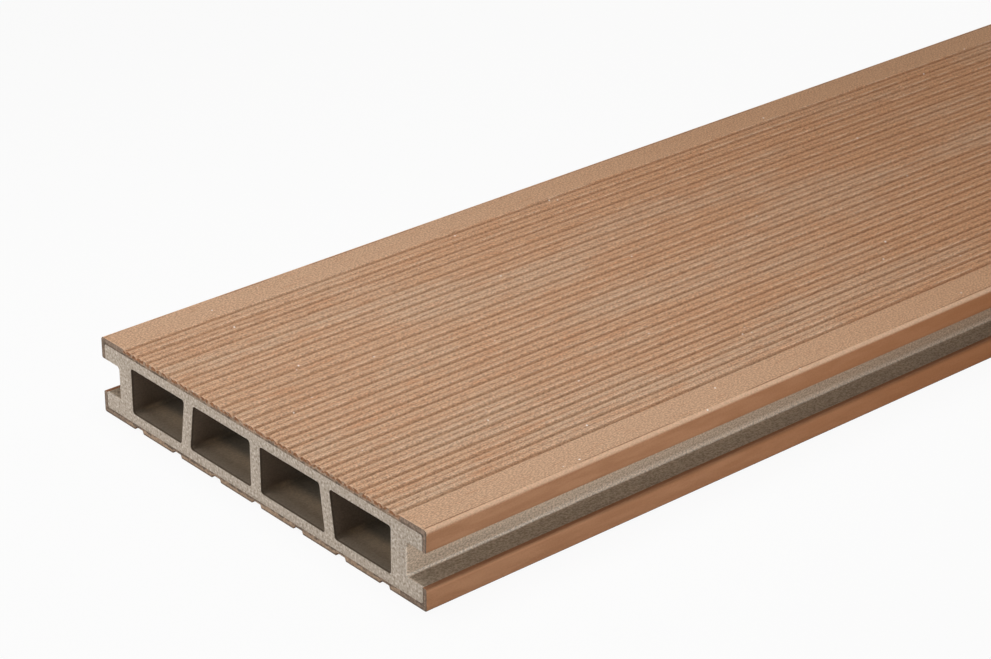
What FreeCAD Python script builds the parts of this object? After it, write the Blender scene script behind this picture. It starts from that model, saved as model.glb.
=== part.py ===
import FreeCAD, Part
import math
import os

# Grooved hollow decking board of wood-plastic composite, extruded in one run from two mixes:
# a pale hollow core, and a brown cap layer over its walking face and over its underside.
# Millimetres. X runs along the board, Y across it and Z up. The origin is under its middle.

# Board, as sold by the length
board_length = 2200.0
board_width = 150.0
board_height = 25.0

# Cap layers, which also wrap the outer face of the lip above or below each clip slot
top_cap_thickness = 2.0
bottom_cap_thickness = 1.9
side_cap_thickness = 1.6
cap_inner_radius = 0.8

# Long edges
top_edge_radius = 1.0
bottom_edge_radius = 0.6
lip_edge_radius = 0.5

# Clip slots along both long sides, between an upper and a lower lip
upper_lip_thickness = 7.0
lower_lip_thickness = 7.0
slot_depth = 8.7
slot_upper_radius = 1.2
slot_lower_radius = 0.5

# Chambers: an inner and an outer one on each side of an upright web at mid-width.
# The web between the two leans outwards from ceiling to floor.
ceiling_thickness = 5.0
floor_thickness = 5.0
side_wall_thickness = 6.1
middle_web_thickness = 4.6
leaning_web_thickness = 4.3
leaning_web_run = 2.2
inner_chamber_ceiling_width = 27.0
chamber_corner_radius = 1.0

# Walking face: deep grooves, with a shallow dip along the middle of the rib between two of them.
# The crowns that are left between grooves and dips are well rounded.
rib_pitch = 5.2
rib_margin = 12.6
rib_crown_round = 1.35
rib_groove_width = 2.0
rib_groove_floor_width = 0.2
rib_groove_depth = 0.75
rib_groove_round = 0.2
rib_dip_width = 1.2
rib_dip_depth = 0.35
rib_dip_round = 0.2

# Underside: wide shallow relief grooves
underside_pitch = 19.15
underside_margin = 17.55
underside_groove_width = 4.3
underside_groove_floor_width = 3.5
underside_groove_depth = 1.05
underside_groove_round = 0.3

# Largest share of a side that one rounded corner takes, and the slack of a count of copies
round_share = 0.49
count_slack = 1e-6

# Places in the section
half_width = board_width / 2
core_half_width = half_width - side_cap_thickness
slot_back = half_width - slot_depth
core_top = board_height - top_cap_thickness
core_bottom = bottom_cap_thickness
slot_top = board_height - upper_lip_thickness
slot_bottom = lower_lip_thickness
ceiling = board_height - ceiling_thickness
floor = floor_thickness


def groove_places(pitch, margin):
    """Middles of the grooves that fit across the board, evenly spaced about its middle."""
    gaps = math.floor((board_width - 2 * margin) / pitch + count_slack)
    return [(k - gaps / 2) * pitch for k in range(gaps + 1)]


def section_point(corner):
    """A (y, z, radius) corner as a point of the board's near end."""
    return FreeCAD.Vector(-board_length / 2, corner[0], corner[1])


def outline(corners):
    """Closed wire through (y, z, radius) corners, each rounded by an arc tangent to both sides."""
    points = [section_point(corner) for corner in corners]
    count = len(points)
    starts, middles, ends = [], [], []
    for k, corner in enumerate(corners):
        point = points[k]
        back = points[k - 1] - point
        ahead = points[(k + 1) % count] - point
        half_angle = back.getAngle(ahead) / 2
        room = round_share * min(back.Length, ahead.Length)
        reach = min(corner[2] / math.tan(half_angle), room)
        radius = reach * math.tan(half_angle)
        back.normalize()
        ahead.normalize()
        starts.append(point + back * reach)
        ends.append(point + ahead * reach)
        inward = back + ahead
        if reach > 0:
            inward.normalize()
        middles.append(point + inward * (radius / math.sin(half_angle) - radius))
    edges = []
    for k, corner in enumerate(corners):
        if corner[2] > 0:
            edges.append(Part.Arc(starts[k], middles[k], ends[k]).toShape())
        edges.append(Part.LineSegment(ends[k], starts[(k + 1) % count]).toShape())
    return Part.Wire(edges)


def extrusion(outer, holes=()):
    """Solid of a section drawn as corners, with its holes, over the board's whole length."""
    wires = [outline(corners) for corners in (outer, *holes)]
    face = Part.makeFace(wires, "Part::FaceMakerBullseye")
    return face.extrude(FreeCAD.Vector(board_length, 0, 0))


def mirrored(corners):
    """The corners of the other side of the board, in the order that carries on from these."""
    return [(-y, z, radius) for y, z, radius in reversed(corners)]


def walking_face():
    """Corners of the ribbed top, from one flat margin to the other."""
    middles = groove_places(rib_pitch, rib_margin)
    foot = board_height - rib_groove_depth
    corners = []
    for k, middle in enumerate(middles):
        if k > 0:
            rib = middle - rib_pitch / 2
            corners.append((rib - rib_dip_width / 2, board_height, rib_crown_round))
            corners.append((rib, board_height - rib_dip_depth, rib_dip_round))
            corners.append((rib + rib_dip_width / 2, board_height, rib_crown_round))
        corners.append((middle - rib_groove_width / 2, board_height, rib_crown_round))
        corners.append((middle - rib_groove_floor_width / 2, foot, rib_groove_round))
        corners.append((middle + rib_groove_floor_width / 2, foot, rib_groove_round))
        corners.append((middle + rib_groove_width / 2, board_height, rib_crown_round))
    return corners


def underside():
    """Corners of the grooved underside, from one long edge to the other."""
    half_mouth = underside_groove_width / 2
    half_floor = underside_groove_floor_width / 2
    corners = []
    for middle in groove_places(underside_pitch, underside_margin):
        corners.append((middle - half_mouth, 0, underside_groove_round))
        corners.append((middle - half_floor, underside_groove_depth, underside_groove_round))
        corners.append((middle + half_floor, underside_groove_depth, underside_groove_round))
        corners.append((middle + half_mouth, 0, underside_groove_round))
    return corners


def top_cap():
    """Ribbed walking layer, with a leg down the outer face of each upper lip."""
    leg = [
        (half_width, board_height, top_edge_radius),
        (half_width, slot_top, lip_edge_radius),
        (core_half_width, slot_top, 0),
        (core_half_width, core_top, cap_inner_radius),
    ]
    return extrusion(walking_face() + leg + mirrored(leg))


def bottom_cap():
    """Grooved lower layer, with a leg up the outer face of each lower lip."""
    leg = [
        (half_width, 0, bottom_edge_radius),
        (half_width, slot_bottom, lip_edge_radius),
        (core_half_width, slot_bottom, 0),
        (core_half_width, core_bottom, cap_inner_radius),
    ]
    return extrusion(underside() + leg + mirrored(leg))


def chambers():
    """Corners of the four hollows: an inner and an outer one each side of the middle web."""
    inner_wall = middle_web_thickness / 2
    web_at_ceiling = inner_wall + inner_chamber_ceiling_width
    web_at_floor = web_at_ceiling + leaning_web_run
    outer_wall = slot_back - side_wall_thickness
    inner = [
        (inner_wall, floor, chamber_corner_radius),
        (web_at_floor, floor, chamber_corner_radius),
        (web_at_ceiling, ceiling, chamber_corner_radius),
        (inner_wall, ceiling, chamber_corner_radius),
    ]
    outer = [
        (web_at_floor + leaning_web_thickness, floor, chamber_corner_radius),
        (outer_wall, floor, chamber_corner_radius),
        (outer_wall, ceiling, chamber_corner_radius),
        (web_at_ceiling + leaning_web_thickness, ceiling, chamber_corner_radius),
    ]
    return [inner, outer, mirrored(inner), mirrored(outer)]


def core():
    """Hollow body between the two caps, slotted along both long sides."""
    side = [
        (core_half_width, core_bottom, cap_inner_radius),
        (core_half_width, slot_bottom, 0),
        (slot_back, slot_bottom, slot_lower_radius),
        (slot_back, slot_top, slot_upper_radius),
        (core_half_width, slot_top, 0),
        (core_half_width, core_top, cap_inner_radius),
    ]
    return extrusion(side + mirrored(side), chambers())


os.makedirs("parts", exist_ok=True)
for name, solid in (("core", core()), ("top_cap", top_cap()), ("bottom_cap", bottom_cap())):
    solid.exportStep(f"parts/{name}.step")
    print(name, "valid" if solid.isValid() else "not valid", round(solid.Volume / 1000, 1), "cm3")
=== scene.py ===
"""A brown capped hollow decking board lying on a pale floor, seen from its near sawn end."""

import logging
import math
from dataclasses import dataclass
from enum import Enum

import bmesh
import bpy
from mathutils import Matrix, Vector, noise


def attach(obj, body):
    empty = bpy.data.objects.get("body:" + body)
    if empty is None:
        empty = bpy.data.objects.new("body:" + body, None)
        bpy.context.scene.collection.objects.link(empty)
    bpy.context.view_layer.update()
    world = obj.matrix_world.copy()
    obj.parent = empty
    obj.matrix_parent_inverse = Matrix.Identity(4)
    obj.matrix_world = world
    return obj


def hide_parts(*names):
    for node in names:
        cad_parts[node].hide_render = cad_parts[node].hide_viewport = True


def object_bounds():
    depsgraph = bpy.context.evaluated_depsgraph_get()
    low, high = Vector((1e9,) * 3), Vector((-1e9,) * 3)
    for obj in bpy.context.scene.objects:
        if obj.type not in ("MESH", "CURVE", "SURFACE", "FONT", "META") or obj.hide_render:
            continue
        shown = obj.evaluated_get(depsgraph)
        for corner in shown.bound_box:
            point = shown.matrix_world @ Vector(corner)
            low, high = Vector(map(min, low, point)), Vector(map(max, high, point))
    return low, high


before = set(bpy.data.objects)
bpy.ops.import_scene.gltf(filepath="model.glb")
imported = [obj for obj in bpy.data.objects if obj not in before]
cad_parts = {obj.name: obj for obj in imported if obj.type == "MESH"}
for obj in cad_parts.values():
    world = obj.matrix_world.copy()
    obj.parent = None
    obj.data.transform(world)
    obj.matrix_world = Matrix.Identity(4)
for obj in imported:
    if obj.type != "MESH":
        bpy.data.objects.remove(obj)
CAD_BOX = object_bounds()

MM = 0.001
WELD = 0.001 * MM
FRAY_FROM = 0.8
FRAY_TO = 0.4
NOISE_MIDDLE = 0.5
SHIFT_SPREAD = (1.0, 0.7, 1.3)
LOG = logging.getLogger("decking_board")

Colour = tuple[float, float, float, float]
Lengths = tuple[float, float, float]

WHITE: Colour = (1.0, 1.0, 1.0, 1.0)


def shade(red: int, green: int, blue: int) -> Colour:
    """Turns a colour as seen on a screen into the linear one that a shader takes.

    Args:
        red: Red from 0 to 255.
        green: Green from 0 to 255.
        blue: Blue from 0 to 255.

    Returns:
        The linear colour with full alpha.
    """

    def linear(level: int) -> float:
        """Undoes the screen's curve for one channel."""
        part = level / 255
        return part / 12.92 if part <= 0.04045 else ((part + 0.055) / 1.055) ** 2.4

    return linear(red), linear(green), linear(blue), 1.0


def node_heights(name: str) -> list[float]:
    """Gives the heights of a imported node's points, in millimetres."""
    return [vert.co.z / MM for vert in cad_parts[name].data.vertices]


@dataclass(frozen=True)
class Section:
    """Heights and half widths of the board's section, in millimetres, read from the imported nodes."""

    walking_face: float
    half_width: float
    core_half_width: float
    core_bottom: float
    core_top: float
    slot_bottom: float
    slot_top: float

    @classmethod
    def read(cls) -> "Section":
        """Reads the section off the three nodes.

        Returns:
            The section of this board.
        """
        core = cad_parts["core"].data.vertices
        return cls(
            walking_face=CAD_BOX[1].z / MM,
            half_width=CAD_BOX[1].y / MM,
            core_half_width=max(vert.co.y for vert in core) / MM,
            core_bottom=min(node_heights("core")),
            core_top=max(node_heights("core")),
            slot_bottom=max(node_heights("bottom_cap")),
            slot_top=min(node_heights("top_cap")),
        )


SECTION = Section.read()


class End(Enum):
    """The two sawn ends, by the direction in which each one faces along the length."""

    NEAR = -1
    FAR = 1

    def distance(self, x: float) -> float:
        """Gives how far a point at x lies in from this end, in metres."""
        return x - CAD_BOX[0].x if self is End.NEAR else CAD_BOX[1].x - x


@dataclass(frozen=True)
class Pattern:
    """A soft noise, with the size of its blotches along, across and up in millimetres.

    Detail is how fine it gets within a blotch, and shift moves it, so that two patterns differ.
    Where the noise marks a surface, the marks begin at the level low and are full at the level high.
    """

    lengths: Lengths
    detail: float
    shift: float
    low: float = 0.0
    high: float = 1.0


class Shading:
    """A procedural material in the making, with its pattern sizes in millimetres of the board."""

    def __init__(self, name: str, roughness: float, specular: float) -> None:
        """Starts a material.

        Args:
            name: The finish's name.
            roughness: The roughness of the whole surface.
            specular: The level of the plain reflection.
        """
        self.material = bpy.data.materials.new(name)
        self.material.use_nodes = True
        self.tree = self.material.node_tree
        self.shader = self.tree.nodes["Principled BSDF"]
        self.shader.inputs["Roughness"].default_value = roughness
        self.shader.inputs["Specular IOR Level"].default_value = specular
        self.place = self.node("ShaderNodeTexCoord").outputs["Object"]
        parts = self.node("ShaderNodeSeparateXYZ")
        self.join(parts.inputs[0], self.place)
        self.x, self.y, self.z = parts.outputs

    def node(self, kind: str, **settings: object) -> bpy.types.Node:
        """Adds a node and sets its properties."""
        made = self.tree.nodes.new(kind)
        for key, value in settings.items():
            setattr(made, key, value)
        return made

    def join(self, target: bpy.types.NodeSocket, source: object) -> None:
        """Links a socket to another one, or sets it to a plain value."""
        if isinstance(source, bpy.types.NodeSocket):
            self.tree.links.new(target, source)
        else:
            target.default_value = source

    def stretched(self, lengths: Lengths, shift: float) -> bpy.types.NodeSocket:
        """Gives the place on the board in steps of the given lengths, in millimetres.

        Args:
            lengths: The pattern's size along, across and up.
            shift: How far the pattern is moved, so that two patterns differ.

        Returns:
            The scaled place.
        """
        mapping = self.node("ShaderNodeMapping")
        self.join(mapping.inputs["Vector"], self.place)
        mapping.inputs["Scale"].default_value = [1 / (length * MM) for length in lengths]
        mapping.inputs["Location"].default_value = [shift * spread for spread in SHIFT_SPREAD]
        return mapping.outputs[0]

    def cloud(self, pattern: Pattern) -> bpy.types.NodeSocket:
        """Gives the soft noise of a pattern, about 0.5."""
        made = self.node("ShaderNodeTexNoise")
        self.join(made.inputs["Vector"], self.stretched(pattern.lengths, pattern.shift))
        made.inputs["Scale"].default_value = 1.0
        made.inputs["Detail"].default_value = pattern.detail
        return made.outputs["Fac"]

    def marks(self, pattern: Pattern) -> bpy.types.NodeSocket:
        """Gives 1 where a pattern marks the surface, else 0."""
        return self.between(self.cloud(pattern), pattern.low, pattern.high)

    def dots(self, lengths: Lengths, shift: float) -> bpy.types.NodeSocket:
        """Gives the distance to scattered points, one in each cell of the given lengths."""
        made = self.node("ShaderNodeTexVoronoi")
        self.join(made.inputs["Vector"], self.stretched(lengths, shift))
        made.inputs["Scale"].default_value = 1.0
        return made.outputs["Distance"]

    def between(self, value: bpy.types.NodeSocket, low: float, high: float) -> bpy.types.NodeSocket:
        """Gives 0 below low, 1 above high and a smooth step between them, either way round."""
        made = self.node("ShaderNodeMapRange", interpolation_type="SMOOTHSTEP")
        self.join(made.inputs["Value"], value)
        self.join(made.inputs["From Min"], low)
        self.join(made.inputs["From Max"], high)
        return made.outputs["Result"]

    def ramp(self, length: bpy.types.NodeSocket, low: float, high: float) -> bpy.types.NodeSocket:
        """Gives the smooth step of a length between two limits in millimetres."""
        return self.between(length, low * MM, high * MM)

    def aside(self) -> bpy.types.NodeSocket:
        """Gives the distance from the board's middle line."""
        return self.unsigned(self.y)

    def inward(self) -> bpy.types.NodeSocket:
        """Gives the distance in from the nearer sawn end."""
        return self.maths("SUBTRACT", CAD_BOX[1].x, self.unsigned(self.x))

    def frayed(self) -> bpy.types.NodeSocket:
        """Gives 1 along the edges of both sawn ends, where the saw has frayed the skin, else 0."""
        return self.ramp(self.inward(), FRAY_FROM, FRAY_TO)

    def maths(self, operation: str, first: object, second: object) -> bpy.types.NodeSocket:
        """Works out one sum from two sockets or numbers."""
        made = self.node("ShaderNodeMath", operation=operation)
        self.join(made.inputs[0], first)
        self.join(made.inputs[1], second)
        return made.outputs[0]

    def unsigned(self, value: bpy.types.NodeSocket) -> bpy.types.NodeSocket:
        """Gives a value without its sign."""
        return self.maths("ABSOLUTE", value, 0.0)

    def product(self, *shares: object) -> object:
        """Multiplies shares with each other."""
        result = shares[0]
        for share in shares[1:]:
            result = self.maths("MULTIPLY", result, share)
        return result

    def line(self, value: object, slope: object, start: object) -> bpy.types.NodeSocket:
        """Gives slope times a value, plus start."""
        made = self.node("ShaderNodeMath", operation="MULTIPLY_ADD")
        for socket, source in zip(made.inputs, (value, slope, start)):
            self.join(socket, source)
        return made.outputs[0]

    def blend(self, share: object, first: object, second: object) -> bpy.types.NodeSocket:
        """Mixes two colours, where a share of 1 is all the second one."""
        made = self.node("ShaderNodeMix", data_type="RGBA")
        self.join(made.inputs[0], share)
        self.join(made.inputs[6], first)
        self.join(made.inputs[7], second)
        return made.outputs[2]

    def lighten(self, colour: object, level: bpy.types.NodeSocket) -> bpy.types.NodeSocket:
        """Multiplies a colour by a level."""
        made = self.node("ShaderNodeVectorMath", operation="SCALE")
        self.join(made.inputs[0], colour)
        self.join(made.inputs["Scale"], level)
        return made.outputs[0]

    def relief(self, height: bpy.types.NodeSocket, depth: float) -> None:
        """Adds fine relief, depth millimetres high."""
        made = self.node("ShaderNodeBump")
        made.inputs["Strength"].default_value = 1.0
        made.inputs["Distance"].default_value = depth * MM
        self.join(made.inputs["Height"], height)
        self.join(self.shader.inputs["Normal"], made.outputs[0])

    def finished(self, colour: object) -> bpy.types.Material:
        """Sets the surface's colour and hands over the material."""
        self.join(self.shader.inputs["Base Color"], colour)
        return self.material


@dataclass(frozen=True)
class CapSkin:
    """The cap's extruded skin: smooth brown on the lips, brushed paler on the walking face."""

    name: str = "cap_skin"
    brown: Colour = shade(182, 136, 103)
    dark_brown: Colour = shade(171, 125, 93)
    red_brown: Colour = shade(164, 107, 68)
    ledge_brown: Colour = shade(156, 112, 84)
    red_groove: Colour = shade(176, 129, 96)
    khaki_groove: Colour = shade(174, 139, 110)
    red_sand: Colour = shade(197, 149, 112)
    khaki_sand: Colour = shade(199, 167, 140)
    margin_sand: Colour = shade(197, 161, 132)
    red_streak: Colour = shade(192, 142, 107)
    edge_sand: Colour = shade(211, 178, 151)
    arris_wear_highlight: Colour = shade(218, 181, 151)
    lip_highlight: Colour = shade(200, 150, 115)
    foot_grey: Colour = shade(112, 92, 78)
    crease_shade_brown: Colour = shade(140, 102, 76)
    white_speck: Colour = shade(246, 240, 232)
    roughness: float = 0.85
    specular: float = 0.05
    relief: float = 0.08

    # Walking face, with its heights taken down from the crowns
    top_depth: float = 2.0
    top_fade: float = 0.8
    brushed_depth: float = 0.52
    brushed_full: float = 0.05
    brush_wander: float = 0.35
    ribs_to: float = 63.5
    margin_fade: float = 0.5
    rib_pitch: float = 5.2
    crown_from: float = 0.75
    crown_to: float = 1.25
    crown_fade: float = 0.2
    dip_from: float = 2.15
    dip_fade: float = 0.3
    dip_share: float = 0.4
    streak_share: float = 0.6
    scratch_share: float = 0.6
    fray_share: float = 0.45

    # Redness at the sawn ends, how much of it comes with the length, and what a patch adds; the redder
    # colours further in are also darker, as painted shade
    inner_shade_length: float = 300.0
    end_redness: float = -0.08
    inner_redness: float = 0.62
    patch_redness: float = 0.40
    inner_share: float = 0.8

    # Swing of the grains' lightness
    skin_grain: float = 0.22
    top_grain: float = 0.40
    edge_calm: float = 0.6

    # White specks, by their spacing and the share of it that one takes up
    speck_spacing: float = 4.5
    speck_shift: float = 2.0
    speck_edge: float = 0.085
    speck_full: float = 0.055

    # Long edges, whose pale band is partly wear and partly a painted highlight, and the outer faces of
    # the lips
    crease: float = 73.75
    crease_width: float = 0.45
    arris_band_edge: float = 74.0
    arris_band_fade: float = 0.9
    arris_band_depth: float = 1.45
    edge_fade: float = 0.3
    ledge: float = 0.2
    ledge_full: float = 0.05
    lip_shade: float = 1.3
    upper_shade: float = 0.17
    lower_shade: float = 0.18
    lower_fade: float = 1.0
    lip_share: float = 0.5
    lip_highlight_from: float = 35.0
    lip_highlight_to: float = 80.0
    line_head: float = 0.35
    line_head_full: float = 0.55
    line_foot_full: float = 0.95
    line_foot: float = 1.25
    foot: float = 0.55

    patches: Pattern = Pattern((55, 20, 20), 3.0, 3.1, 0.36, 0.56)
    blots: Pattern = Pattern((16, 2.5, 2.5), 3.0, 11.3, 0.35, 0.65)
    wander: Pattern = Pattern((8, 1.2, 1.2), 2.0, 12.0)
    grains: Pattern = Pattern((0.7, 0.4, 0.4), 2.0, 1.9, 0.26, 0.74)
    strokes: Pattern = Pattern((5, 0.5, 0.5), 3.0, 4.4)
    speckled: Pattern = Pattern((9, 9, 9), 0.0, 5.0, 0.60, 0.62)
    streaks: Pattern = Pattern((12, 1.6, 1.6), 3.0, 7.7, 0.50, 0.72)
    rubbed: Pattern = Pattern((10, 2.0, 2.0), 2.0, 15.0, 0.42, 0.56)
    scratches: Pattern = Pattern((9, 0.45, 0.45), 1.0, 27.0, 0.64, 0.74)
    creased: Pattern = Pattern((22, 0.4, 0.4), 2.0, 21.0, 0.47, 0.56)

    def make(self) -> bpy.types.Material:
        """Builds the finish.

        Returns:
            The cap's material.
        """
        made = Shading(self.name, self.roughness, self.specular)
        top_from = SECTION.walking_face - self.top_depth
        on_top = made.ramp(made.z, top_from, top_from + self.top_fade)
        on_edge = made.ramp(made.aside(), self.arris_band_edge, self.arris_band_edge + self.edge_fade)
        colour = self.brushed_skin(made, on_top)
        # Pale band round each long arris: partly a worn edge, partly a painted highlight
        arris_band_to = SECTION.walking_face - self.arris_band_depth
        arris_band = made.ramp(made.z, arris_band_to, arris_band_to + self.arris_band_fade)
        colour = made.blend(made.product(arris_band, on_edge), colour, self.arris_wear_highlight)
        colour = self.lip_marks(made, colour, on_edge)
        grains = made.cloud(self.grains)
        calm = made.line(on_edge, -self.edge_calm, 1.0)
        spread = made.product(made.line(on_top, self.top_grain, self.skin_grain), calm)
        swing = made.between(grains, self.grains.low, self.grains.high)
        swing = made.maths("SUBTRACT", swing, NOISE_MIDDLE)
        colour = made.lighten(colour, made.line(swing, spread, 1.0))
        near_speck = made.dots((self.speck_spacing,) * 3, self.speck_shift)
        specks = made.between(near_speck, self.speck_edge, self.speck_full)
        specks = made.product(specks, made.marks(self.speckled), on_top)
        colour = made.blend(specks, colour, self.white_speck)
        frayed = made.product(made.frayed(), on_top, self.fray_share)
        colour = made.blend(frayed, colour, self.edge_sand)
        made.relief(made.maths("ADD", made.cloud(self.strokes), grains), self.relief)
        return made.finished(colour)

    def brushed_skin(self, made: Shading, on_top: bpy.types.NodeSocket) -> bpy.types.NodeSocket:
        """Lays the brushed sand over the skin of the grooves and lips.

        Args:
            made: The material in the making.
            on_top: 1 on the walking face and 0 below it.

        Returns:
            The colour of the skin, before its edges are worn.
        """
        # Redder and darker further in from both sawn ends: a drift in colour along the run, whose
        # darkening is painted shade
        inner_drift_and_shade = made.ramp(made.inward(), 0.0, self.inner_shade_length)
        ribbed = made.ramp(made.aside(), self.ribs_to + self.margin_fade, self.ribs_to)
        patched = made.product(made.marks(self.patches), ribbed)
        lengthwise = made.line(inner_drift_and_shade, self.inner_redness, self.end_redness)
        redness = made.line(patched, self.patch_redness, lengthwise)
        skin = made.blend(made.marks(self.blots), self.brown, self.dark_brown)
        skin = made.blend(made.product(inner_drift_and_shade, self.inner_share), skin, self.red_brown)
        groove = made.blend(redness, self.khaki_groove, self.red_groove)
        groove = made.blend(made.product(on_top, ribbed), skin, groove)
        wander = made.maths("SUBTRACT", made.cloud(self.wander), NOISE_MIDDLE)
        height = made.line(wander, self.brush_wander * MM, made.z)
        brushed_from = SECTION.walking_face - self.brushed_depth
        brushed = made.ramp(height, brushed_from, SECTION.walking_face - self.brushed_full)
        return made.blend(brushed, groove, self.brushed_sand(made, ribbed, redness))

    def brushed_sand(
        self,
        made: Shading,
        ribbed: bpy.types.NodeSocket,
        redness: bpy.types.NodeSocket,
    ) -> bpy.types.NodeSocket:
        """Mixes the colours that the brush has laid open on the walking face.

        Args:
            made: The material in the making.
            ribbed: 1 over the ribs and 0 on the flat margins.
            redness: 0 where the face is khaki and 1 where it is red.

        Returns:
            The colour of the brushed face.
        """
        pale = made.blend(ribbed, self.margin_sand, self.khaki_sand)
        sand = made.blend(redness, pale, self.red_sand)
        streaks = made.product(made.marks(self.streaks), ribbed, self.streak_share)
        sand = made.blend(streaks, sand, self.red_streak)
        # Pale lines on the crowns beside each groove: partly rubbed wear, partly a painted highlight
        from_groove = made.maths("PINGPONG", made.y, self.rib_pitch / 2 * MM)
        risen = made.ramp(from_groove, self.crown_from, self.crown_from + self.crown_fade)
        sunk = made.ramp(from_groove, self.crown_to, self.crown_to - self.crown_fade)
        crown_wear_highlight = made.product(risen, sunk, ribbed, made.marks(self.rubbed))
        sand = made.blend(crown_wear_highlight, sand, self.edge_sand)
        # Painted shade in the shallow dip along the middle of each rib
        dip_shade = made.ramp(from_groove, self.dip_from, self.dip_from + self.dip_fade)
        sand = made.blend(made.product(dip_shade, ribbed, self.dip_share), sand, self.red_groove)
        scratches = made.product(made.marks(self.scratches), self.scratch_share)
        sand = made.blend(scratches, sand, self.red_groove)
        # Painted shade along the fine crease beside each long edge
        off_crease = made.unsigned(made.maths("SUBTRACT", made.aside(), self.crease * MM))
        crease = made.ramp(off_crease, self.crease_width / 2, self.crease_width / 4)
        return made.blend(made.product(crease, made.marks(self.creased)), sand, self.crease_shade_brown)

    def lip_marks(
        self,
        made: Shading,
        colour: bpy.types.NodeSocket,
        on_edge: bpy.types.NodeSocket,
    ) -> bpy.types.NodeSocket:
        """Paints shade on the lips along the slot and on the foot, with a painted highlight along the
        lower one near the ends.

        Args:
            made: The material in the making.
            colour: The skin's colour so far.
            on_edge: 1 on the outer faces of the lips.

        Returns:
            The colour with the painted shades, the painted highlight and the darker ledges.
        """
        # Painted shade on both lips next to the slot, deeper on the lower lip further in
        slot_middle = (SECTION.slot_bottom + SECTION.slot_top) / 2
        slot_half = (SECTION.slot_top - SECTION.slot_bottom) / 2
        from_slot = made.unsigned(made.maths("SUBTRACT", made.z, slot_middle * MM))
        past_line = made.ramp(made.inward(), self.lip_highlight_from, self.lip_highlight_to)
        lower = made.ramp(made.z, slot_middle, slot_middle - self.lower_fade)
        near_slot = made.ramp(from_slot, slot_half + self.lip_shade, slot_half)
        depth = made.line(made.product(lower, past_line), self.lower_shade, self.upper_shade)
        shaded = made.product(near_slot, depth, on_edge)
        colour = made.lighten(colour, made.line(shaded, -1.0, 1.0))
        # Painted highlight along the lower lip's rounded top edge near the sawn ends
        lip_top = SECTION.slot_bottom
        above = made.ramp(made.z, lip_top - self.line_foot, lip_top - self.line_foot_full)
        below = made.ramp(made.z, lip_top - self.line_head, lip_top - self.line_head_full)
        share = made.line(past_line, -self.lip_share, self.lip_share)
        colour = made.blend(made.product(above, below, on_edge, share), colour, self.lip_highlight)
        foot = made.ramp(made.z, self.foot, self.foot / 2)
        colour = made.blend(made.product(foot, on_edge), colour, self.foot_grey)
        # Darker brown on the cap's ledges that face the slot, atop the lower lip and under the upper lip
        ledge = made.ramp(from_slot, slot_half + self.ledge, slot_half + self.ledge_full)
        return made.blend(ledge, colour, self.ledge_brown)


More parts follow.
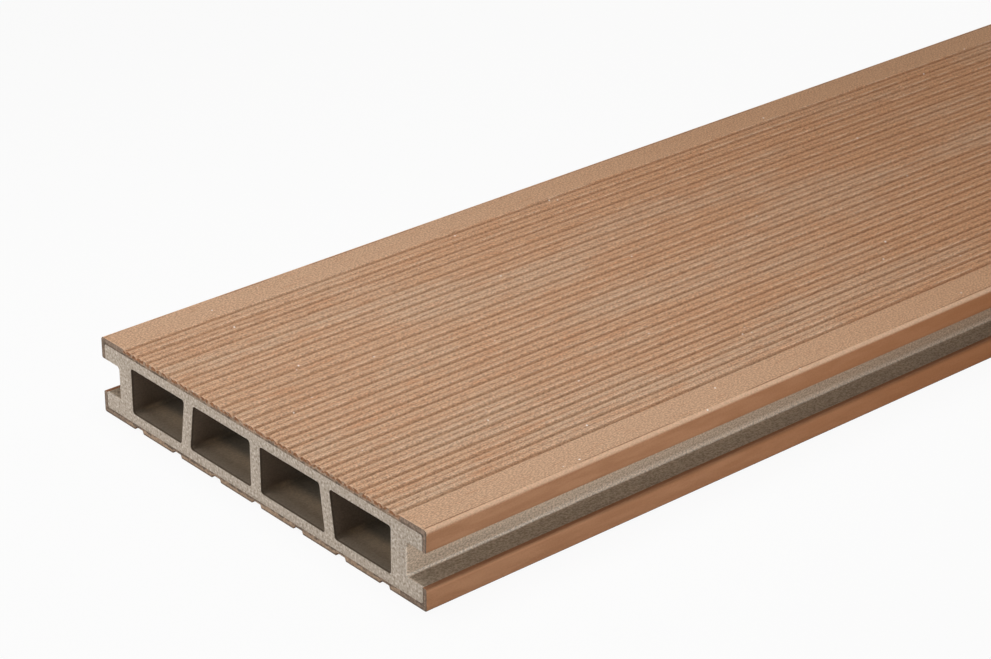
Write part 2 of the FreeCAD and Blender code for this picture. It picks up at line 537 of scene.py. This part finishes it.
@dataclass(frozen=True)
class CapSawn:
    """The cap where the saw went through it: dull, smeared and dark along the core."""

    name: str = "cap_sawn"
    grey_brown: Colour = shade(162, 138, 117)
    edge_grey: Colour = shade(136, 117, 102)
    seam_grey: Colour = shade(106, 92, 80)
    chip_brown: Colour = shade(138, 94, 65)
    roughness: float = 0.85
    specular: float = 0.15
    relief: float = 0.15
    seam: float = 0.6
    seam_fade: float = 0.3
    seam_least: float = 0.35
    seam_fringe: float = 0.5
    smear: float = 0.4
    ribs_to: float = 63.5
    margin_fade: float = 1.0
    dark_rim: float = 0.7
    dark_rim_share: float = 0.75
    chips_from: float = 1.5
    chips_full: float = 0.8
    grain_dark: float = 0.74
    grain_swing: float = 0.52
    grains: Pattern = Pattern((0.7, 0.7, 0.7), 2.0, 4.0, 0.30, 0.70)
    smeared: Pattern = Pattern((7, 7, 7), 2.0, 31.0, 0.42, 0.64)
    broken: Pattern = Pattern((2.5, 2.5, 2.5), 2.0, 17.0, 0.40, 0.60)
    chips: Pattern = Pattern((1.8, 1.6, 1.2), 1.0, 9.0, 0.40, 0.50)

    def make(self) -> bpy.types.Material:
        """Builds the finish.

        Returns:
            The material of the cap's cut.
        """
        made = Shading(self.name, self.roughness, self.specular)
        ribbed = made.ramp(made.aside(), self.ribs_to + self.margin_fade, self.ribs_to)
        grains = made.cloud(self.grains)
        colour = made.blend(ribbed, self.edge_grey, self.grey_brown)
        colour = made.blend(self.seam_share(made, grains), colour, self.seam_grey)
        # Dark rim along the sawn cap's outer sides and its foot; along the foot it is a painted shadow
        # line
        low = made.ramp(made.z, self.dark_rim, self.dark_rim / 2)
        dark_rim_from = SECTION.half_width - self.dark_rim
        outer = made.ramp(made.aside(), dark_rim_from, dark_rim_from + self.dark_rim / 2)
        dark_rim = made.product(made.maths("MAXIMUM", low, outer), self.dark_rim_share)
        colour = made.blend(dark_rim, colour, self.seam_grey)
        chips_from = SECTION.walking_face - self.chips_from
        high = made.ramp(made.z, chips_from, SECTION.walking_face - self.chips_full)
        chips = made.product(made.marks(self.chips), high, ribbed)
        colour = made.blend(chips, colour, self.chip_brown)
        level = made.between(grains, self.grains.low, self.grains.high)
        made.relief(grains, self.relief)
        return made.finished(made.lighten(colour, made.line(level, self.grain_swing, self.grain_dark)))

    def seam_share(self, made: Shading, grains: bpy.types.NodeSocket) -> bpy.types.NodeSocket:
        """Gives the share of the dark seam that the saw has smeared along the core.

        Args:
            made: The material in the making.
            grains: The noise of the sawn cap, which frays the seam.

        Returns:
            The share, broken up along the seam.
        """
        core_middle = (SECTION.core_bottom + SECTION.core_top) / 2
        core_half_height = (SECTION.core_top - SECTION.core_bottom) / 2
        above = made.unsigned(made.maths("SUBTRACT", made.z, core_middle * MM))
        above = made.maths("SUBTRACT", above, core_half_height * MM)
        beside = made.maths("SUBTRACT", made.aside(), SECTION.core_half_width * MM)
        off_core = made.maths("MAXIMUM", above, beside)
        off_core = made.line(made.marks(self.smeared), -self.smear * MM, off_core)
        off_core = made.line(grains, self.seam_fringe * MM, off_core)
        seam = made.ramp(off_core, self.seam + self.seam_fade, self.seam)
        broken = made.line(made.marks(self.broken), 1.0 - self.seam_least, self.seam_least)
        return made.product(seam, broken)


@dataclass(frozen=True)
class CoreSkin:
    """The core's extruded skin: grey-brown in the clip slots and darker in the chambers, with light and
    shade painted on it in both.
    """

    name: str = "core_skin"
    slot_wall: Colour = shade(197, 178, 158)
    inner_shade_wall: Colour = shade(168, 142, 119)
    shaded_slot_floor: Colour = shade(171, 156, 138)
    corner_highlight: Colour = shade(238, 228, 215)
    sawn_arris: Colour = shade(232, 221, 207)
    rim_shade: Colour = shade(104, 91, 78)
    shaded_mouth_floor: Colour = shade(138, 124, 108)
    lit_floor: Colour = shade(197, 176, 151)
    shaded_deep_floor: Colour = shade(146, 136, 122)
    shaded_mouth_wall: Colour = shade(128, 112, 97)
    lit_deep_wall: Colour = shade(182, 176, 166)
    roughness: float = 0.8
    specular: float = 0.15
    relief: float = 0.10

    # Clip slots: the wall over the floor, both with painted shade, and a painted highlight in the corner
    # between the two, which is narrow near the sawn ends and spreads up the wall further in
    wall_from: float = 0.1
    wall_full: float = 0.5
    inner_shade_length: float = 300.0
    slot_back: float = 66.3
    corner_width: float = 1.0
    corner_spread: float = 1.2
    corner_core: float = 0.15
    corner_lean: float = 1.3
    lean_spread: float = 3.7
    spread_from: float = 35.0
    spread_to: float = 65.0
    spread_fade: float = 0.52
    corner_fade: float = 0.55
    fray_share: float = 0.8

    # Chambers, by the depth in from their mouths, where light and shade are painted
    chamber_reach: float = 62.0
    reach_fade: float = 1.0
    chamber_floor: float = 5.0
    floor_fade: float = 1.5
    rim_depth: float = 0.9
    lit_from: float = 1.0
    lit_full: float = 7.5
    dark_from: float = 8.0
    dark_full: float = 12.0
    deep_from: float = 4.0
    deep_full: float = 28.0

    # Swing of the grains' lightness
    slot_grain: float = 0.64
    chamber_grain: float = 0.24
    drawn_share: float = 0.2
    drawn_lines: Pattern = Pattern((45, 0.9, 0.9), 3.0, 6.0)
    grains: Pattern = Pattern((0.7, 0.5, 0.5), 2.0, 8.0, 0.32, 0.68)

    def make(self) -> bpy.types.Material:
        """Builds the finish.

        Returns:
            The material of the core's drawn surfaces.
        """
        made = Shading(self.name, self.roughness, self.specular)
        inside = made.ramp(made.aside(), self.chamber_reach + self.reach_fade, self.chamber_reach)
        frayed = made.product(made.frayed(), self.fray_share)
        slot = made.blend(frayed, self.slot_colour(made), self.sawn_arris)
        colour = made.blend(inside, slot, self.chamber_colour(made))
        grains = made.product(made.cloud(self.grains), 1.0 - self.drawn_share)
        grains = made.line(made.cloud(self.drawn_lines), self.drawn_share, grains)
        swing = made.between(grains, self.grains.low, self.grains.high)
        swing = made.maths("SUBTRACT", swing, NOISE_MIDDLE)
        spread = made.line(inside, self.chamber_grain - self.slot_grain, self.slot_grain)
        made.relief(grains, self.relief)
        return made.finished(made.lighten(colour, made.line(swing, spread, 1.0)))

    def slot_colour(self, made: Shading) -> bpy.types.NodeSocket:
        """Gives the colour of a clip slot's wall and floor, with painted shade on both, and the painted
        highlight in the corner.
        """
        slot_bottom = SECTION.slot_bottom
        raised = made.ramp(made.z, slot_bottom + self.wall_from, slot_bottom + self.wall_full)
        # The slot wall turns darker further in from the sawn ends: painted shade
        inner_shade = made.ramp(made.inward(), 0.0, self.inner_shade_length)
        wall = made.blend(inner_shade, self.slot_wall, self.inner_shade_wall)
        # The slot floor is the wall's skin, painted darker as shade under the upper lip
        colour = made.blend(raised, self.shaded_slot_floor, wall)
        # Painted highlight along the corner between the slot's wall and floor
        up = made.maths("SUBTRACT", made.z, slot_bottom * MM)
        out = made.maths("SUBTRACT", made.aside(), self.slot_back * MM)
        spread = made.ramp(made.inward(), self.spread_from, self.spread_to)
        off_corner = made.line(out, made.line(spread, self.lean_spread, self.corner_lean), up)
        width = made.line(spread, self.corner_spread * MM, self.corner_width * MM)
        corner = made.between(made.maths("DIVIDE", off_corner, width), 1.0, self.corner_core)
        kept = made.line(spread, -self.spread_fade, 1.0)
        corner = made.product(corner, kept, made.line(inner_shade, -self.corner_fade, 1.0))
        return made.blend(corner, colour, self.corner_highlight)

    def chamber_colour(self, made: Shading) -> bpy.types.NodeSocket:
        """Gives the colour of a chamber's floor and walls, with painted light and shade: a lit stretch of
        floor, walls dark at the mouth and lighter deeper in, and a painted shade rim round its mouth.
        """
        # Painted light and shade: a lit stretch of floor past the mouth and darker floor deeper in, walls
        # dark at the mouth and lighter deeper in
        inward = made.inward()
        lit = made.ramp(inward, self.lit_from, self.lit_full)
        floor = made.blend(lit, self.shaded_mouth_floor, self.lit_floor)
        dark = made.ramp(inward, self.dark_from, self.dark_full)
        floor = made.blend(dark, floor, self.shaded_deep_floor)
        deep = made.ramp(inward, self.deep_from, self.deep_full)
        wall = made.blend(deep, self.shaded_mouth_wall, self.lit_deep_wall)
        upright = made.ramp(made.z, self.chamber_floor, self.chamber_floor + self.floor_fade)
        # Painted shade rim round the mouth
        rim = made.ramp(inward, self.rim_depth, self.rim_depth / 2)
        return made.blend(rim, made.blend(upright, floor, wall), self.rim_shade)


@dataclass(frozen=True)
class CoreSawn:
    """The core where the saw went through it: pale grey, mottled with light and dark grains."""

    name: str = "core_sawn"
    grey: Colour = shade(178, 165, 151)
    dark_speck: Colour = shade(136, 123, 108)
    pale_speck: Colour = shade(216, 206, 194)
    roughness: float = 0.85
    specular: float = 0.15
    relief: float = 0.12
    speck_share: float = 0.8
    dark_full: float = 0.31
    dark_from: float = 0.49
    pale_from: float = 0.51
    pale_full: float = 0.69
    grains: Pattern = Pattern((0.8, 0.8, 0.8), 3.0, 2.0)

    def make(self) -> bpy.types.Material:
        """Builds the finish.

        Returns:
            The material of the core's cut.
        """
        made = Shading(self.name, self.roughness, self.specular)
        grains = made.cloud(self.grains)
        dark = made.between(grains, self.dark_from, self.dark_full)
        pale = made.between(grains, self.pale_from, self.pale_full)
        colour = made.blend(made.product(dark, self.speck_share), self.grey, self.dark_speck)
        colour = made.blend(made.product(pale, self.speck_share), colour, self.pale_speck)
        made.relief(grains, self.relief)
        return made.finished(colour)


@dataclass
class Layer:
    """One extruded layer of the board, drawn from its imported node's sawn outline."""

    node: str
    slot: str
    skin: bpy.types.Material
    sawn: bpy.types.Material
    point_spacing: float = 0.1
    arris: float = 0.15
    first_step: float = 0.4
    step_growth: float = 1.5
    longest_step: float = 20.0
    sharp_angle: float = 40.0

    def build(self) -> bpy.types.Object:
        """Builds the layer and puts it in the place of its node.

        Returns:
            The finished piece.
        """
        shape = self.outline()
        self.draw_out(shape)
        self.close_ends(shape)
        self.wear(shape)
        return self.dress(shape)

    def outline(self) -> bmesh.types.BMesh:
        """Takes the rim of the node's near sawn face as a closed wire, with its arcs thinned out."""
        shape = bmesh.new()
        shape.from_mesh(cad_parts[self.node].data)
        bmesh.ops.remove_doubles(shape, verts=shape.verts, dist=WELD)
        near = min(vert.co.x for vert in shape.verts) + WELD
        sawn = {face for face in shape.faces if all(vert.co.x < near for vert in face.verts)}
        rim = {edge for edge in shape.edges if len(sawn.intersection(edge.link_faces)) == 1}
        bmesh.ops.delete(shape, geom=list(shape.faces), context="FACES_ONLY")
        bmesh.ops.delete(shape, geom=[edge for edge in shape.edges if edge not in rim], context="EDGES")
        loose = [vert for vert in shape.verts if not vert.link_edges]
        bmesh.ops.delete(shape, geom=loose, context="VERTS")
        bmesh.ops.remove_doubles(shape, verts=shape.verts, dist=self.point_spacing * MM)
        return shape

    def steps(self) -> list[float]:
        """Gives the lengths from one station to the next, short near both sawn ends."""
        length = (CAD_BOX[1].x - CAD_BOX[0].x) / MM
        short = [self.first_step]
        while short[-1] * self.step_growth < self.longest_step:
            short.append(short[-1] * self.step_growth)
        middle = length - 2 * sum(short)
        count = math.ceil(middle / self.longest_step)
        return short + [middle / count] * count + short[::-1]

    def draw_out(self, shape: bmesh.types.BMesh) -> None:
        """Extrudes the outline through every station to the far end."""
        front = list(shape.edges)
        for step in self.steps():
            made = bmesh.ops.extrude_edge_only(shape, edges=front)["geom"]
            front = [item for item in made if isinstance(item, bmesh.types.BMEdge)]
            points = [item for item in made if isinstance(item, bmesh.types.BMVert)]
            bmesh.ops.translate(shape, verts=points, vec=(step * MM, 0, 0))

    def close_ends(self, shape: bmesh.types.BMesh) -> None:
        """Fills both sawn ends and breaks their sharp edges."""
        for face in shape.faces:
            face.material_index = 0
        rims = [edge for edge in shape.edges if edge.is_boundary]
        for end in End:
            rim = [edge for edge in rims if end.distance(edge.verts[0].co.x) < self.first_step * MM / 2]
            facing = Vector((end.value, 0, 0))
            made = bmesh.ops.triangle_fill(shape, use_beauty=True, edges=rim, normal=facing)["geom"]
            for face in made:
                if isinstance(face, bmesh.types.BMFace):
                    face.material_index = 1
        bmesh.ops.recalc_face_normals(shape, faces=shape.faces)
        bmesh.ops.bevel(
            shape,
            geom=rims,
            offset=self.arris * MM,
            offset_type="OFFSET",
            segments=2,
            profile=0.5,
            affect="EDGES",
            clamp_overlap=True,
            material=-1,
        )

    def wear(self, shape: bmesh.types.BMesh) -> None:
        """Leaves the layer as it was drawn."""

    def dress(self, shape: bmesh.types.BMesh) -> bpy.types.Object:
        """Makes the piece, gives it its finishes and lets it stand for its node."""
        mesh = bpy.data.meshes.new(self.node + "_skin")
        shape.to_mesh(mesh)
        shape.free()
        mesh.materials.append(self.skin)
        mesh.materials.append(self.sawn)
        mesh.shade_smooth()
        mesh.set_sharp_from_angle(angle=math.radians(self.sharp_angle))
        piece = bpy.data.objects.new(self.node + "_skin", mesh)
        bpy.context.scene.collection.objects.link(piece)
        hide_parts(self.node)
        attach(piece, "root")
        return piece


@dataclass
class WalkingCap(Layer):
    """The ribbed upper cap with its two short legs."""

    ribs_to: float = 64.0
    rib_depth: float = 1.0
    sway: float = 0.45
    sway_length: float = 300.0
    sway_width: float = 7.0
    sway_shift: float = 0.0
    rubbed: float = 0.10
    rubbed_length: float = 35.0
    rubbed_width: float = 2.0
    rubbed_shift: float = 9.0
    crease: float = 73.75
    crease_half: float = 0.2
    crease_depth: float = 0.12
    crease_share: float = 0.4
    crease_length: float = 40.0
    crease_shift: float = 3.0
    chip_height: float = 1.6
    chip_reach: float = 2.0
    chip_depth: float = 0.85
    chip_width: float = 1.4
    chip_shift: float = 2.0
    chip_apart: float = 5.0

    def outline(self) -> bmesh.types.BMesh:
        """Adds the points of the fine crease beside each long edge to the drawn outline."""
        shape = super().outline()
        for across in (self.crease - self.crease_half, self.crease, self.crease + self.crease_half):
            for side in (-1, 1):
                top = [edge for edge in shape.edges if all(self.on_top(vert) for vert in edge.verts)]
                ends = list({vert for edge in top for vert in edge.verts})
                bmesh.ops.bisect_plane(
                    shape,
                    geom=top + ends,
                    dist=WELD,
                    plane_co=(0, side * across * MM, 0),
                    plane_no=(0, 1, 0),
                )
        return shape

    def on_top(self, vert: bmesh.types.BMVert) -> bool:
        """Tells whether a point lies at the height of the walking face."""
        return vert.co.z > CAD_BOX[1].z - WELD

    def wear(self, shape: bmesh.types.BMesh) -> None:
        """Lets the ribs sway, rubs their crowns down, marks the creases and chips the sawn edges."""
        for vert in shape.verts:
            place = vert.co / MM
            down = SECTION.walking_face - place.z
            if down < self.rib_depth and abs(place.y) < self.ribs_to:
                self.rub(vert, place)
            elif self.on_top(vert) and abs(abs(place.y) - self.crease) < self.crease_half / 2:
                marked = noise.noise((place.x / self.crease_length, place.y, self.crease_shift))
                vert.co.z -= max(0.0, self.crease_share + marked) * self.crease_depth * MM
            if down < self.chip_height:
                self.chip(vert, place)

    def rub(self, vert: bmesh.types.BMVert, place: Vector) -> None:
        """Moves one point of the ribs aside with its neighbours and lowers it on the crowns.

        Args:
            vert: The point.
            place: Where it was drawn, in millimetres.
        """
        sway_at = (place.x / self.sway_length, place.y / self.sway_width, self.sway_shift)
        vert.co.y += noise.noise(sway_at) * self.sway * MM
        rubbed_at = (place.x / self.rubbed_length, place.y / self.rubbed_width, self.rubbed_shift)
        height = 1 - (SECTION.walking_face - place.z) / self.rib_depth
        vert.co.z -= max(0.0, noise.noise(rubbed_at)) * height * self.rubbed * MM

    def chip(self, vert: bmesh.types.BMVert, place: Vector) -> None:
        """Breaks one point of a sawn upper edge away, inwards and down.

        Args:
            vert: The point.
            place: Where it was drawn, in millimetres.
        """
        for end in End:
            left = 1 - end.distance(vert.co.x) / (self.chip_reach * MM)
            if left > 0:
                chip_at = (place.y / self.chip_width, end.value * self.chip_apart, self.chip_shift)
                height = 1 - (SECTION.walking_face - place.z) / self.chip_height
                depth = max(0.0, noise.noise(chip_at)) * left * height * self.chip_depth * MM
                vert.co.z -= depth
                vert.co.x -= end.value * depth


@dataclass
class UndersideCap(Layer):
    """The lower cap with its wide shallow grooves."""


@dataclass
class HollowCore(Layer):
    """The core with its four chambers and the backs of the clip slots."""


@dataclass(frozen=True)
class Lamp:
    """A soft lamp with a flat face near one sawn end, in metres; its twin lights the other end.

    It hangs over, or beside, a place some way in from the end, and is turned to that place.
    A low lamp is flagged, so that it lights the board and leaves no bright spot on the floor.
    """

    name: str
    inward: float
    offset: Lengths
    width: float
    tall: float
    level: float
    flagged: bool = False

    def hang(self, end: End, board: bpy.types.Collection) -> None:
        """Hangs the lamp by one end: the two lamps are half a turn apart.

        Args:
            end: The end that the lamp lights.
            board: The pieces of the board.
        """
        outward, aside, height = self.offset
        edge = CAD_BOX[0].x if end is End.NEAR else CAD_BOX[1].x
        target = Vector((edge - end.value * self.inward, 0, CAD_BOX[1].z))
        offset = Vector((end.value * outward, -end.value * aside, height))
        lamp = bpy.data.lights.new(f"{end.name.lower()}_{self.name}", "AREA")
        lamp.shape = "RECTANGLE"
        lamp.size = self.width
        lamp.size_y = self.tall
        # The power that makes a white matte face at the target look as bright as the level
        lamp.energy = self.level * math.pi**2 * offset.length_squared
        hung = bpy.data.objects.new(lamp.name, lamp)
        hung.visible_camera = False
        if self.flagged:
            hung.light_linking.receiver_collection = board
        bpy.context.scene.collection.objects.link(hung)
        turned = offset.to_track_quat("Z", "Y").to_matrix().to_4x4()
        hung.matrix_world = Matrix.Translation(target + offset) @ turned


@dataclass
class Studio:
    """A pale floor, even light from all round and soft lamps off both ends of the board."""

    board: bpy.types.Collection
    floor_size: float = 40.0
    floor_level: float = 0.85
    floor_white: float = 0.93
    sky_level: float = 0.17
    sky_colour: Colour = (1.0, 0.95, 0.88, 1.0)
    lamps: tuple[Lamp, ...] = (
        Lamp("middle_strip", inward=0.85, offset=(0.0, 0.0, 0.45), width=0.5, tall=0.3, level=0.60),
        Lamp("overhead", inward=0.02, offset=(0.0, 0.02, 0.35), width=0.25, tall=0.30, level=0.75),
        Lamp("end_light", 0.0, (0.90, 0.42, 0.17), width=1.1, tall=0.22, level=0.70, flagged=True),
        Lamp("side_light", 0.09, (0.0, -0.42, 0.06), width=0.20, tall=0.10, level=0.295, flagged=True),
    )

    def build(self) -> None:
        """Sets up the floor, the surroundings and the lamps."""
        bpy.context.scene.view_settings.view_transform = "Standard"
        self.lay_floor()
        self.light_surroundings()
        for lamp in self.lamps:
            for end in End:
                lamp.hang(end, self.board)

    def lay_floor(self) -> None:
        """Lays the floor under the board."""
        shape = bmesh.new()
        bmesh.ops.create_grid(shape, x_segments=1, y_segments=1, size=self.floor_size / 2)
        mesh = bpy.data.meshes.new("floor")
        shape.to_mesh(mesh)
        shape.free()
        mesh.materials.append(self.floor_finish())
        floor = bpy.data.objects.new("floor", mesh)
        bpy.context.scene.collection.objects.link(floor)

    def seen(self, tree: bpy.types.NodeTree) -> bpy.types.NodeSocket:
        """Gives 1 where the camera looks straight at a surface or sees it mirrored, else 0."""
        path = tree.nodes.new("ShaderNodeLightPath")
        share = path.outputs["Is Camera Ray"]
        for ray in ("Is Glossy Ray", "Is Transmission Ray"):
            either = tree.nodes.new("ShaderNodeMath")
            either.operation = "MAXIMUM"
            tree.links.new(either.inputs[0], share)
            tree.links.new(either.inputs[1], path.outputs[ray])
            share = either.outputs[0]
        return share

    def floor_finish(self) -> bpy.types.Material:
        """Makes a pale floor that looks white and still takes the board's shadow."""
        finish = bpy.data.materials.new("pale_floor")
        finish.use_nodes = True
        tree = finish.node_tree
        tree.nodes.clear()
        matte = tree.nodes.new("ShaderNodeBsdfDiffuse")
        matte.inputs["Color"].default_value = (self.floor_level,) * 3 + (1.0,)
        glow = tree.nodes.new("ShaderNodeEmission")
        share = tree.nodes.new("ShaderNodeMath")
        share.operation = "MULTIPLY"
        share.inputs[1].default_value = self.floor_white
        tree.links.new(share.inputs[0], self.seen(tree))
        mixed = tree.nodes.new("ShaderNodeMixShader")
        tree.links.new(mixed.inputs[0], share.outputs[0])
        tree.links.new(mixed.inputs[1], matte.outputs[0])
        tree.links.new(mixed.inputs[2], glow.outputs[0])
        output = tree.nodes.new("ShaderNodeOutputMaterial")
        tree.links.new(output.inputs["Surface"], mixed.outputs[0])
        return finish

    def light_surroundings(self) -> None:
        """Lights the scene evenly from all round, and shows white behind it."""
        world = bpy.data.worlds.new("surroundings")
        world.use_nodes = True
        tree = world.node_tree
        sky = tree.nodes["Background"]
        sky.inputs["Color"].default_value = self.sky_colour
        sky.inputs["Strength"].default_value = self.sky_level
        white = tree.nodes.new("ShaderNodeBackground")
        white.inputs["Color"].default_value = WHITE
        mixed = tree.nodes.new("ShaderNodeMixShader")
        tree.links.new(mixed.inputs[0], self.seen(tree))
        tree.links.new(mixed.inputs[1], sky.outputs[0])
        tree.links.new(mixed.inputs[2], white.outputs[0])
        tree.links.new(tree.nodes["World Output"].inputs["Surface"], mixed.outputs[0])
        bpy.context.scene.world = world


@dataclass
class Viewpoint:
    """The camera, placed from the foot of the near sawn end."""

    lens: float = 110.357
    film_width: float = 36.0
    azimuth: float = -41.0894
    elevation: float = 26.5984
    roll: float = 0.2416
    right_of_end: float = 67.5146
    above_end: float = 49.7977
    back_from_end: float = 858.8167
    nearest: float = 10.0

    def build(self) -> None:
        """Makes the camera and hands it to the scene."""
        turn = math.radians(self.azimuth)
        rise = math.radians(self.elevation)
        tilt = math.radians(self.roll)
        across = Vector((math.cos(turn), math.sin(turn), 0))
        back = Vector((math.sin(turn) * math.cos(rise), -math.cos(turn) * math.cos(rise), math.sin(rise)))
        upward = back.cross(across)
        right = across * math.cos(tilt) + upward * math.sin(tilt)
        top = upward * math.cos(tilt) - across * math.sin(tilt)
        foot = Vector((CAD_BOX[0].x, 0, CAD_BOX[0].z))
        place = foot + (right * self.right_of_end + top * self.above_end + back * self.back_from_end) * MM
        camera = bpy.data.cameras.new("camera")
        camera.lens = self.lens
        camera.sensor_width = self.film_width
        camera.sensor_fit = "HORIZONTAL"
        camera.clip_start = self.nearest * MM
        camera_object = bpy.data.objects.new("camera", camera)
        bpy.context.scene.collection.objects.link(camera_object)
        turned = Matrix((right, top, back)).transposed()
        camera_object.matrix_world = Matrix.Translation(place) @ turned.to_4x4()
        bpy.context.scene.camera = camera_object


def main() -> None:
    """Builds the board layer by layer, then the studio and the camera."""
    logging.basicConfig(level=logging.INFO, format="%(name)s: %(message)s")
    cap_skin = CapSkin().make()
    cap_sawn = CapSawn().make()
    layers = (
        WalkingCap("top_cap", "cap", cap_skin, cap_sawn),
        UndersideCap("bottom_cap", "cap", cap_skin, cap_sawn),
        HollowCore("core", "core", CoreSkin().make(), CoreSawn().make(), arris=0.35),
    )
    board = bpy.data.collections.new("board")
    for layer in layers:
        piece = layer.build()
        board.objects.link(piece)
        LOG.info("%s has %d faces", piece.name, len(piece.data.polygons))
    Studio(board).build()
    Viewpoint().build()


if __name__ == "__main__":
    main()
